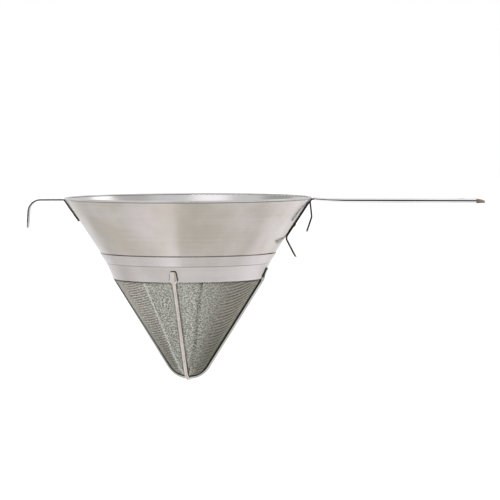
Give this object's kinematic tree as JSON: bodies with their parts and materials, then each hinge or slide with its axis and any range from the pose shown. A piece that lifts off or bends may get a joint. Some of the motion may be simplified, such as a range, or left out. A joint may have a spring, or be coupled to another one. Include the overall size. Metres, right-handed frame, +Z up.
{
  "type": "chinois strainer",
  "caption": "Conical fine-gauze strainer with a solid upper bowl, crossed guard rods over the tip, a flat handle, and hooks that seat it on a pot.",
  "frame": {"origin": "on the axis of the bowl, level with the top of the rolled rim, where it hangs on a pot", "axes": "+Z up along the cone's axis, +X along the handle, the front hook at -X"},
  "size_m": [0.4635, 0.25, 0.186],
  "materials": {
    "bowl_steel": "satin rolled stainless sheet, soft streaks round the cone",
    "band_steel": "satin rolled stainless sheet",
    "gauze_wire": "fine woven stainless wire gauze",
    "rod_steel": "drawn stainless wire, slightly dull",
    "strap_steel": "mill-finish stainless strip, sheared edges",
    "weld_steel": "raised spot welds with a faint heat tint",
    "grip_steel": "lengthways satin stainless tube",
    "cap_steel": "dull pressed stainless cap"
  },
  "bodies": {
    "root": {"bowl_shell": "bowl_steel", "collar_band": "band_steel", "gauze_clamp_ring": "band_steel", "gauze_cone": "gauze_wire", "guard_rod_sideways": "rod_steel", "guard_rod_front_back": "rod_steel", "handle_strap": "strap_steel", "handle_strap_welds": "weld_steel", "handle_grip": "grip_steel", "handle_end_cap": "cap_steel", "front_hook": "strap_steel", "front_hook_welds": "weld_steel"}
  },
  "joints": []
}
